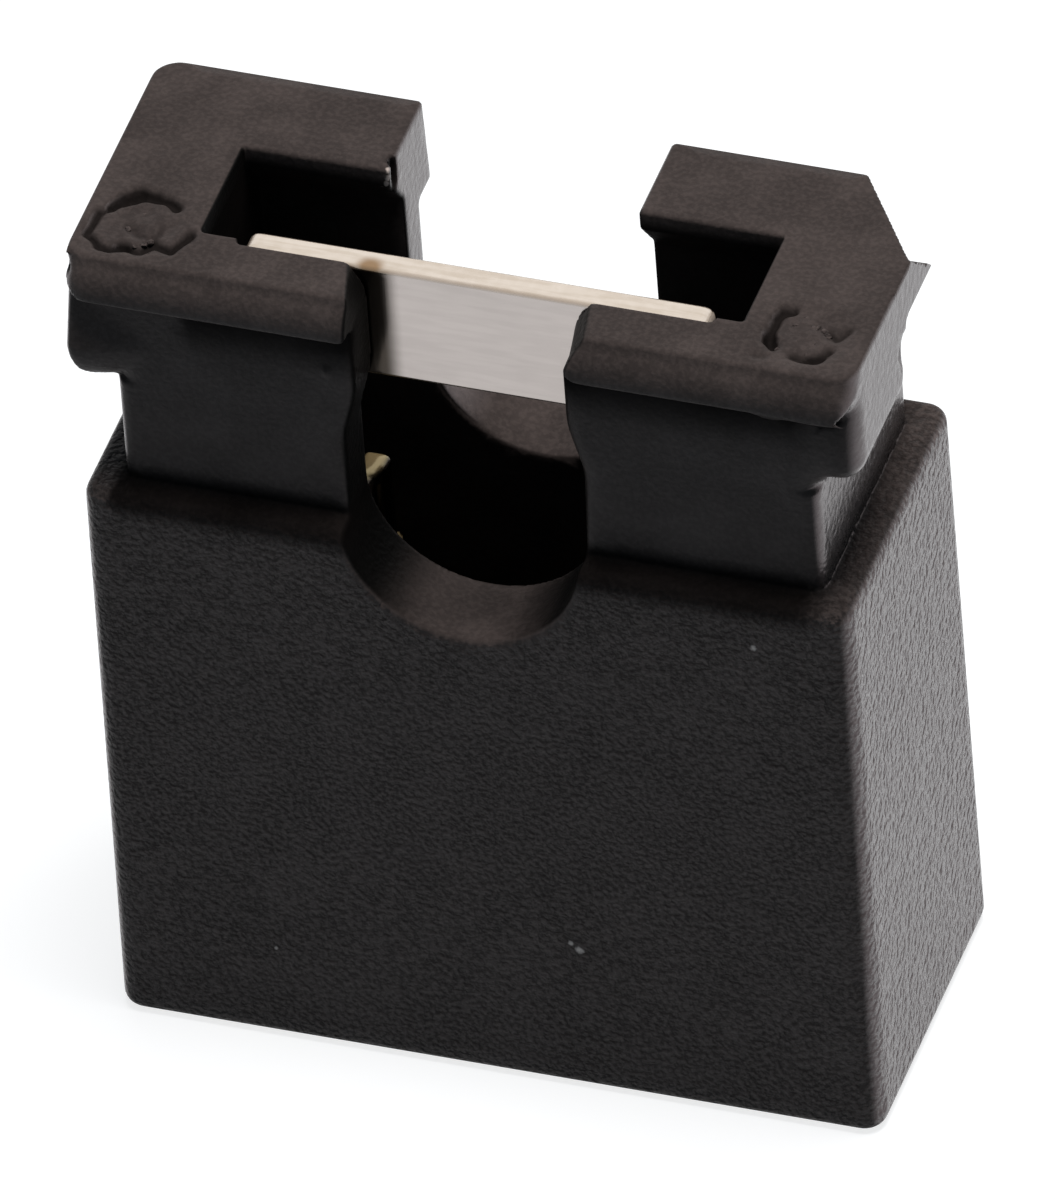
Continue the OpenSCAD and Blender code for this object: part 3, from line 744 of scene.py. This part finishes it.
def skin(name, field, low, step):
    """A closed mesh, in metres, where a field changes sign, shaded by the field's own slope."""
    band = GRID_MARGIN * step
    grid = openvdb.FloatGrid(band)
    grid.copyFromArray(np.clip(field, -band, band).astype(np.float32))
    points, triangles, quads = grid.convertToPolygons(0.0, FACE_MERGING)
    faces = [tuple(face) for face in triangles.tolist()] + [tuple(face) for face in quads.tolist()]
    mesh = bpy.data.meshes.new(name)
    mesh.from_pydata(((points * step + np.array(low)) * MM).tolist(), [], faces)
    mesh.validate()
    places = (vertex_places(mesh) - np.array(low)) / step
    slopes = [
        sample(field, places + shift) - sample(field, places - shift) for shift in np.eye(3) * SLOPE_STEP
    ]
    normals = np.stack(slopes, axis=1)
    normals /= np.maximum(np.linalg.norm(normals, axis=1, keepdims=True), 1e-9)
    face_normals = np.empty(len(mesh.polygons) * 3)
    mesh.polygons.foreach_get("normal", face_normals)
    first = np.array([face.vertices[0] for face in mesh.polygons])
    if np.sum(face_normals.reshape(-1, 3) * normals[first]) < 0:
        mesh.flip_normals()
    mesh.polygons.foreach_set("use_smooth", np.ones(len(mesh.polygons), bool))
    mesh.normals_split_custom_set_from_vertices(normals.tolist())
    return mesh, normals


def grown(name, mesh, tree, values):
    """The plain mesh that a node tree makes from another mesh, with the tree's named inputs set."""
    holder = bpy.data.objects.new(name, mesh)
    bpy.context.scene.collection.objects.link(holder)
    modifier = holder.modifiers.new(name, "NODES")
    modifier.node_group = tree
    for item in tree.interface.items_tree:
        if item.in_out == "INPUT" and item.name in values:
            modifier[item.identifier] = values[item.name]
    graph = bpy.context.evaluated_depsgraph_get()
    made = bpy.data.meshes.new_from_object(holder.evaluated_get(graph))
    holder.modifiers.remove(modifier)
    bpy.data.objects.remove(holder)
    made.name = name
    return made


def vertex_places(mesh):
    """Places of a mesh's vertices in millimetres."""
    places = np.empty(len(mesh.vertices) * 3)
    mesh.vertices.foreach_get("co", places)
    return places.reshape(-1, 3) / MM


def store(mesh, name, values):
    """Keeps one value for each vertex under a name."""
    attribute = mesh.attributes.new(name, "FLOAT", "POINT")
    attribute.data.foreach_set("value", np.asarray(values, np.float32))


def place_piece(name, mesh):
    """Puts a finished mesh in the scene as a piece that rides on the object."""
    piece = bpy.data.objects.new(name, mesh)
    bpy.context.scene.collection.objects.link(piece)
    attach(piece, BODY)
    return piece


# Node trees


class Wire:
    """A socket of a node tree, which Python's operators turn into Math nodes."""

    def __init__(self, tree, socket=None):
        self.tree = tree
        self.socket = socket

    def node(self, kind, settings=None, inputs=None, output=0):
        """Adds a node, sets it up, feeds its sockets and returns one of its outputs."""
        made = self.tree.nodes.new(kind)
        for key, value in (settings or {}).items():
            setattr(made, key, value)
        for key, value in (inputs or {}).items():
            if isinstance(value, Wire):
                self.tree.links.new(value.socket, made.inputs[key])
            else:
                made.inputs[key].default_value = value
        return Wire(self.tree, made.outputs[output] if made.outputs else None)

    def math(self, operation, first, second=0.0):
        """One Math node."""
        return self.node("ShaderNodeMath", {"operation": operation}, {0: first, 1: second})

    def between(self, low, high):
        """0 below a value, 1 above another, and smooth between them."""
        settings = {"interpolation_type": "SMOOTHSTEP"}
        return self.node("ShaderNodeMapRange", settings, {"Value": self, "From Min": low, "From Max": high})

    def blend(self, first, second):
        """A colour between two others, with this value as the share of the second."""
        settings = {"data_type": "RGBA"}
        return self.node("ShaderNodeMix", settings, {0: self, 6: first, 7: second}, 2)

    def away(self, place):
        """Distance of these coordinates from a place."""
        return self.node("ShaderNodeVectorMath", {"operation": "DISTANCE"}, {0: self, 1: place}, "Value")

    def attribute(self, name):
        """A value that is stored on the mesh."""
        return self.node("ShaderNodeAttribute", {"attribute_name": name}, None, "Fac")

    def principled(self, inputs):
        """A Principled shader."""
        return self.node("ShaderNodeBsdfPrincipled", None, inputs)

    def mixed(self, first, second):
        """A shader between two others, with this value as the share of the second."""
        return self.node("ShaderNodeMixShader", None, {0: self, 1: first, 2: second})

    def surface(self, shader):
        """Sends a shader to the material's output."""
        self.node("ShaderNodeOutputMaterial", None, {"Surface": shader})

    def noise(self, vector, scale, detail=2.0):
        """A Noise node."""
        return self.node("ShaderNodeTexNoise", None, {"Vector": vector, "Scale": scale, "Detail": detail})

    def __add__(self, other):
        return self.math("ADD", self, other)

    __radd__ = __add__

    def __mul__(self, other):
        return self.math("MULTIPLY", self, other)

    __rmul__ = __mul__

    def __sub__(self, other):
        return self.math("SUBTRACT", self, other)

    def __rsub__(self, other):
        return self.math("SUBTRACT", other, self)


def crumb_tree():
    """Node tree that lays a ring of torn crumbs round each point of a mesh."""
    tree = bpy.data.node_groups.new("ejector_crumbs", "GeometryNodeTree")
    kinds = {
        "Marks": "Geometry",
        "Ring": "Float",
        "Crumb": "Float",
        "Places": "Int",
        "Kept": "Float",
        "Seed": "Int",
        "Material": "Material",
    }
    for name, kind in kinds.items():
        tree.interface.new_socket(name, in_out="INPUT", socket_type="NodeSocket" + kind)
    tree.interface.new_socket("Crumbs", in_out="OUTPUT", socket_type="NodeSocketGeometry")
    start = Wire(tree)
    given = {name: start.node("NodeGroupInput", output=name) for name in kinds}
    seed = given["Seed"]

    def drawn(low, high, turn):
        """A random vector for each crumb."""
        settings = {"data_type": "FLOAT_VECTOR"}
        return start.node("FunctionNodeRandomValue", settings, {0: low, 1: high, "Seed": seed + turn})

    circle = {"Vertices": given["Places"], "Radius": given["Ring"]}
    circle = start.node("GeometryNodeMeshCircle", None, circle)
    rings = start.node("GeometryNodeInstanceOnPoints", None, {"Points": given["Marks"], "Instance": circle})
    rings = start.node("GeometryNodeRealizeInstances", None, {0: rings})
    stray = drawn((-CRUMB_STRAY, -CRUMB_STRAY, 0), (CRUMB_STRAY, CRUMB_STRAY, 0), 1)
    stray = start.node("ShaderNodeVectorMath", {"operation": "SCALE"}, {0: stray, "Scale": given["Crumb"]})
    places = start.node("GeometryNodeSetPosition", None, {"Geometry": rings, "Offset": stray})
    chance = {"Probability": given["Kept"], "Seed": seed}
    kept = start.node("FunctionNodeRandomValue", {"data_type": "BOOLEAN"}, chance, 3)
    crumb = start.node("GeometryNodeMeshIcoSphere", None, {"Radius": given["Crumb"], "Subdivisions": 2})
    lumps = {
        "Points": places,
        "Selection": kept,
        "Instance": crumb,
        "Rotation": drawn((0, 0, 0), (0, 0, math.tau), 2),
        "Scale": drawn(*CRUMB_SCALES, 3),
    }
    lumps = start.node("GeometryNodeInstanceOnPoints", None, lumps)
    lumps = start.node("GeometryNodeRealizeInstances", None, {0: lumps})
    lumps = start.node("GeometryNodeSetShadeSmooth", None, {0: lumps})
    finished = {"Geometry": lumps, "Material": given["Material"]}
    finished = start.node("GeometryNodeSetMaterial", None, finished)
    start.node("NodeGroupOutput", None, {0: finished})
    return tree


def new_material(name):
    """An empty node material and the start of its shader tree."""
    material = bpy.data.materials.new(name)
    material.use_nodes = True
    material.node_tree.nodes.clear()
    return material, Wire(material.node_tree)


def opaque(rgb):
    """A colour with full alpha."""
    return (*rgb, 1.0)


def speck_mask(start, coords, ragged):
    """1 on the pale specks, with ragged outlines, and 0 elsewhere."""
    mask = 0.0
    for place, reach in SPECKS:
        away = coords.away([value * MM for value in place]) + reach * MM * ragged
        inner, outer = (edge * reach * MM for edge in SPECK_EDGE)
        mask = start.math("MAXIMUM", 1 - away.between(inner, outer), mask)
    return mask


def black_plastic(finish):
    """Moulded black plastic: spark-eroded grain below the shoulder, smoother above it, with painted light and
    shade.
    """
    material, start = new_material("black_plastic")
    coords = start.node("ShaderNodeTexCoord", output="Object")
    fine = 1 / finish.grain_size
    grain = start.noise(coords, fine)
    coarse = start.noise(coords, COARSE_SCALE * fine, detail=1.0)
    pits = start.node("ShaderNodeTexVoronoi", {"feature": "SMOOTH_F1"}, {"Vector": coords, "Scale": fine})
    clouds = start.noise(coords, CLOUD_SCALE * fine, detail=3.0)
    core = start.attribute("core_side")
    sideways = start.attribute("sideways")
    end_face = (1 - core) * sideways.between(*END_SLOPES)
    smooth = start.attribute("smooth_side")
    depth = 1 - (1 - finish.rim_grain) * smooth
    relief = (1 - end_face) * (grain + PIT_SHARE * pits - GRAIN_MIDDLE)
    relief = relief + end_face * COARSE_SHARE * (coarse - COARSE_MIDDLE)
    relief = {"Strength": 1.0, "Distance": finish.grain_depth, "Height": relief * depth}
    bump = start.node("ShaderNodeBump", None, relief)
    # Paler grains, and a neck and rim painted paler as lit from above
    pale = grain.between(*GRAIN_TONES) * (PALE_LEAST + (1 - PALE_LEAST) * depth)
    pale = pale + PALE_CLOUDS * clouds.between(*CLOUD_TONES) + PAINTED_LIGHT_ABOVE * smooth
    grained = pale.blend(opaque(finish.plastic), opaque(finish.plastic_pale))
    # Painted shade: the upright walls of the front notch and the cavity are darkened towards near-black
    shaded = core * sideways.between(*SHADED_SLOPES)
    grained = shaded.blend(grained, opaque(finish.painted_shade))
    speck = speck_mask(start, coords, grain)
    base = speck.blend(grained, opaque(finish.speck))
    faces = {
        "Base Color": base,
        "Roughness": FACE_ROUGH[0] + FACE_ROUGH[1] * grain,
        "Normal": bump,
        "Specular IOR Level": finish.gloss,
    }
    # Painted sheen: a glossier, pink-tinted copy of the plastic on the end faces stands in for the warm light
    # from the right
    ends = {
        "Base Color": base,
        "Roughness": END_ROUGH[0] + END_ROUGH[1] * coarse,
        "Normal": bump,
        "Specular IOR Level": finish.end_gloss,
        "Specular Tint": opaque(finish.end_light_tint),
    }
    # A dark matt copy of the plastic that paints shade in the cavity, corners and torn marks, and darkens
    # round the chips
    darkness = {
        "Base Color": (SHADE_CLOUDS * clouds).blend(opaque(finish.painted_shade), opaque(finish.plastic)),
        "Roughness": SHADE_ROUGH[0] + SHADE_ROUGH[1] * grain,
        "Specular IOR Level": 0.0,
    }
    moulded = end_face.mixed(start.principled(faces), start.principled(ends))
    darkened = SHADE_SHARE * start.attribute("painted_shade") * (1 - speck)
    start.surface(darkened.mixed(moulded, start.principled(darkness)))
    return material


def plated_bronze(finish, contact):
    """Bright plated strip with fine rolling lines and painted shade, and bare bronze on its cut edges."""
    material, start = new_material("plated_bronze")
    coords = start.node("ShaderNodeTexCoord", output="Object")
    across, behind, height = (
        start.node("ShaderNodeSeparateXYZ", None, {0: coords}, axis) for axis in range(3)
    )
    fine = 1 / finish.brush_size
    upright = start.node("ShaderNodeMapping", None, {"Vector": coords, "Scale": LINE_STRETCH})
    level = start.node("ShaderNodeMapping", None, {"Vector": coords, "Scale": STREAK_STRETCH})
    lines = start.noise(upright, fine, detail=3.0)
    streaks = start.noise(level, STREAK_SCALE * fine)
    smears = start.noise(coords, SMEAR_SCALE * fine)
    nicks = start.noise(coords, NICK_SCALE * fine)
    cut = start.attribute("cut_edge")
    dull = tuple(DULL_SHARE * channel for channel in finish.plating)
    rolled = 0.5 * smears.between(*SMEAR_TONES) + 0.5 * streaks.between(*STREAK_TONES)
    plating = rolled.blend(opaque(finish.plating), opaque(dull))
    # Painted shade: dark plating inside the sleeves below the strip, and the left wall's dark reflection
    # painted on the strip's front at its left end
    shade = across.between(*DARK_REFLECTION_END)
    shade = start.math("MAXIMUM", shade, behind.between(-contact.plate_front, -contact.plate_back))
    in_strip = height.between(contact.tab_top, contact.strip_top - contact.strip_h)
    bright = in_strip * shade
    plating = bright.blend(opaque(finish.metal_shade), plating)
    smeared = NICK_SHARE * nicks.between(*NICK_TONES) + (1 - NICK_SHARE) * streaks.between(*EDGE_TONES)
    worn = smeared.blend(opaque(finish.bronze), opaque(finish.bronze_pale))
    stain = 1 - coords.away(STAIN_PLACE).between(STAIN_CORE * STAIN_REACH, STAIN_REACH)
    stain = start.math("MAXIMUM", stain, CORNER_STAIN * cut * (1 - cut))
    worn = in_strip.blend(opaque(finish.aged), stain.blend(worn, opaque(finish.stain)))
    relief = {"Strength": LINE_STRENGTH, "Distance": LINE_DEPTH, "Height": lines + streaks}
    metal = {
        "Base Color": cut.blend(plating, worn),
        "Roughness": METAL_ROUGH + LINE_ROUGH * lines + NICK_ROUGH * cut * nicks,
        "Normal": start.node("ShaderNodeBump", None, relief),
        "Metallic": 1 - EDGE_DULL * cut,
    }
    start.surface(start.principled(metal))
    return material


def seen_directly(start):
    """1 for rays from the camera, from mirrors and through glass, and 0 for all others."""
    kinds = ("Is Camera Ray", "Is Glossy Ray", "Is Transmission Ray")
    camera, glossy, clear = (start.node("ShaderNodeLightPath", output=kind) for kind in kinds)
    return start.math("MAXIMUM", start.math("MAXIMUM", camera, glossy), clear)


def white_floor(studio):
    """Pale matt floor that looks white where no shadow falls."""
    material, start = new_material("white_floor")
    glow = tuple(studio.floor_glow * channel for channel in WHITE)
    matt = {
        "Base Color": opaque(studio.floor),
        "Roughness": 1.0,
        "Specular IOR Level": 0.0,
        "Emission Color": seen_directly(start).blend(opaque((0, 0, 0)), opaque(glow)),
        "Emission Strength": 1.0,
    }
    start.surface(start.principled(matt))
    material.cycles.emission_sampling = "NONE"
    return material


# Operators


class ShuntHousing(bpy.types.Operator):
    """Makes the moulded housing and the torn crumbs in its ejector marks."""

    bl_idname = "shunt.housing"
    bl_label = "Housing"

    def execute(self, context):
        scene = context.scene
        sizes = millimetres(scene.shunt_housing)
        margin = GRID_MARGIN * sizes.grid
        low = np.array([-sizes.rim_w / 2, -sizes.foot_d / 2, 0.0]) - margin
        high = np.array([sizes.rim_w / 2, sizes.foot_d / 2, sizes.top]) + margin
        seed = scene.shunt_studio.seed
        field = housing_field(sizes, seed, *grid_axes(low, high, sizes.grid))
        mesh, normals = skin("housing_moulding", field, low, sizes.grid)
        places = vertex_places(mesh).T
        store(mesh, "core_side", core_side(sizes, *places))
        store(mesh, "smooth_side", smooth_side(sizes, *places))
        store(mesh, "painted_shade", painted_shade(sizes, seed, *places))
        store(mesh, "sideways", np.abs(normals[:, 0]))
        material = black_plastic(scene.shunt_finish)
        mesh.materials.append(material)
        piece = place_piece("housing_moulding", mesh)
        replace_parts(piece, "housing")
        self.add_crumbs(scene, sizes, material)
        return {"FINISHED"}

    @staticmethod
    def add_crumbs(scene, sizes, material):
        crumb = scene.shunt_crumbs
        floor = sizes.top - CRUMB_SINK * sizes.mark_depth
        marks = bpy.data.meshes.new("ejector_marks")
        centres = [(*mark_centre(sizes, side), floor) for side in (-1, 1)]
        marks.from_pydata([[value * MM for value in centre] for centre in centres], [], [])
        values = {
            "Ring": crumb.ring_r,
            "Crumb": crumb.crumb_r,
            "Places": crumb.crumbs,
            "Kept": crumb.kept,
            "Seed": scene.shunt_studio.seed,
            "Material": material,
        }
        place_piece("ejector_crumbs", grown("ejector_crumbs", marks, crumb_tree(), values))


class ShuntContact(bpy.types.Operator):
    """Makes the folded contact."""

    bl_idname = "shunt.contact"
    bl_label = "Contact"

    def execute(self, context):
        scene = context.scene
        sizes = millimetres(scene.shunt_contact)
        margin = GRID_MARGIN * sizes.grid
        back = sizes.root_front + sizes.sheet_t
        low = np.array([-sizes.leg_outer, -sizes.plate_front, sizes.floor_t]) - margin
        high = np.array([sizes.leg_outer, back, sizes.strip_top]) + margin
        field = contact_field(sizes, *grid_axes(low, high, sizes.grid))
        mesh, normals = skin("contact_strip", field, low, sizes.grid)
        self.mark_cut_edges(mesh, normals, sizes)
        mesh.materials.append(plated_bronze(scene.shunt_finish, scene.shunt_contact))
        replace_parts(place_piece("contact_strip", mesh), "contact")
        return {"FINISHED"}

    @staticmethod
    def mark_cut_edges(mesh, normals, sizes):
        """Stores where the sheet's cut edges show, which have no plating."""
        places = vertex_places(mesh)
        fold_end = sizes.wall_inner + sizes.bend_r + sizes.sheet_t
        flat = (places[:, 2] > sizes.tab_top) | (np.abs(places[:, 0]) > fold_end)
        across = np.where(flat, np.abs(normals[:, 0]), 0)
        store(mesh, "cut_edge", ramp(np.maximum(np.abs(normals[:, 2]), across), 0.5, 0.8))


class ShuntStage(bpy.types.Operator):
    """Makes the floor, the lights and the camera."""

    bl_idname = "shunt.stage"
    bl_label = "Stage"

    def execute(self, context):
        studio = context.scene.shunt_studio
        self.add_floor(context, studio)
        self.add_world(context, studio)
        self.add_softbox(context, studio)
        self.add_camera(context, studio)
        context.scene.view_settings.view_transform = "Standard"
        return {"FINISHED"}

    @staticmethod
    def add_floor(context, studio):
        half = studio.floor_half
        corners = [(-half, -half, 0), (half, -half, 0), (half, half, 0), (-half, half, 0)]
        mesh = bpy.data.meshes.new("floor")
        mesh.from_pydata(corners, [], [(0, 1, 2, 3)])
        mesh.materials.append(white_floor(studio))
        floor = bpy.data.objects.new("floor", mesh)
        context.scene.collection.objects.link(floor)

    @staticmethod
    def add_world(context, studio):
        world = bpy.data.worlds.new("white_room")
        world.use_nodes = True
        tree = world.node_tree
        tree.nodes.clear()
        start = Wire(tree)
        dim, bright = (
            start.node("ShaderNodeBackground", None, {"Color": opaque(shade)})
            for shade in (studio.ambient, WHITE)
        )
        start.node("ShaderNodeOutputWorld", None, {"Surface": seen_directly(start).mixed(dim, bright)})
        context.scene.world = world

    @staticmethod
    def add_softbox(context, studio):
        light = bpy.data.lights.new("softbox", "AREA")
        light.shape = "SQUARE"
        light.size = studio.key_size
        light.energy = studio.key_power
        light.color = studio.key
        softbox = bpy.data.objects.new("softbox", light)
        context.scene.collection.objects.link(softbox)
        place = Vector((math.tan(studio.key_right), math.tan(studio.key_back), 1)).normalized()
        softbox.location = place * studio.key_distance
        softbox.rotation_euler = (-place).to_track_quat("-Z", "Y").to_euler()
        softbox.visible_glossy = False

    @staticmethod
    def add_camera(context, studio):
        turn, rise, roll = studio.azimuth, studio.elevation, studio.roll
        right = Vector((math.cos(turn), math.sin(turn), 0))
        level = Vector((-math.sin(turn), math.cos(turn), 0))
        ahead = level * math.cos(rise) - Vector((0, 0, math.sin(rise)))
        upward = level * math.sin(rise) + Vector((0, 0, math.cos(rise)))
        image_right = right * math.cos(roll) - upward * math.sin(roll)
        image_up = upward * math.cos(roll) + right * math.sin(roll)
        place = Vector((0, 0, studio.aim)) - ahead * studio.distance - image_up * studio.drop
        data = bpy.data.cameras.new("camera")
        data.sensor_width = 36
        data.lens = studio.lens
        data.clip_start = studio.distance / 10
        data.clip_end = studio.distance * 4
        camera = bpy.data.objects.new("camera", data)
        context.scene.collection.objects.link(camera)
        turned = Matrix((image_right, image_up, -ahead)).transposed()
        camera.matrix_world = Matrix.Translation(place) @ turned.to_4x4()
        context.scene.camera = camera


class ShuntPanel(bpy.types.Panel):
    """Lists the shunt's operators and settings."""

    bl_idname = "VIEW3D_PT_shunt"
    bl_label = "Jumper shunt"
    bl_space_type = "VIEW_3D"
    bl_region_type = "UI"
    bl_category = "Shunt"

    def draw(self, context):
        for operator in OPERATORS:
            self.layout.operator(operator.bl_idname)
        for name in SETTINGS:
            group = getattr(context.scene, name)
            for key in type(group).__annotations__:
                self.layout.prop(group, key)


OPERATORS = (ShuntHousing, ShuntContact, ShuntStage)
SETTINGS = {
    "shunt_housing": ShuntHousingSizes,
    "shunt_contact": ShuntContactSizes,
    "shunt_crumbs": ShuntCrumbSizes,
    "shunt_finish": ShuntFinish,
    "shunt_studio": ShuntStudio,
}


def register():
    """Adds the settings, operators and panel to Blender."""
    for group in SETTINGS.values():
        bpy.utils.register_class(group)
    for item in (*OPERATORS, ShuntPanel):
        bpy.utils.register_class(item)
    for name, group in SETTINGS.items():
        setattr(bpy.types.Scene, name, PointerProperty(type=group))


def unregister():
    """Takes them out again."""
    for name in SETTINGS:
        delattr(bpy.types.Scene, name)
    for item in (ShuntPanel, *reversed(OPERATORS), *reversed(SETTINGS.values())):
        bpy.utils.unregister_class(item)


def main():
    """Makes the object and its stage."""
    register()
    bpy.ops.shunt.housing()
    bpy.ops.shunt.contact()
    bpy.ops.shunt.stage()


if __name__ == "__main__":
    main()
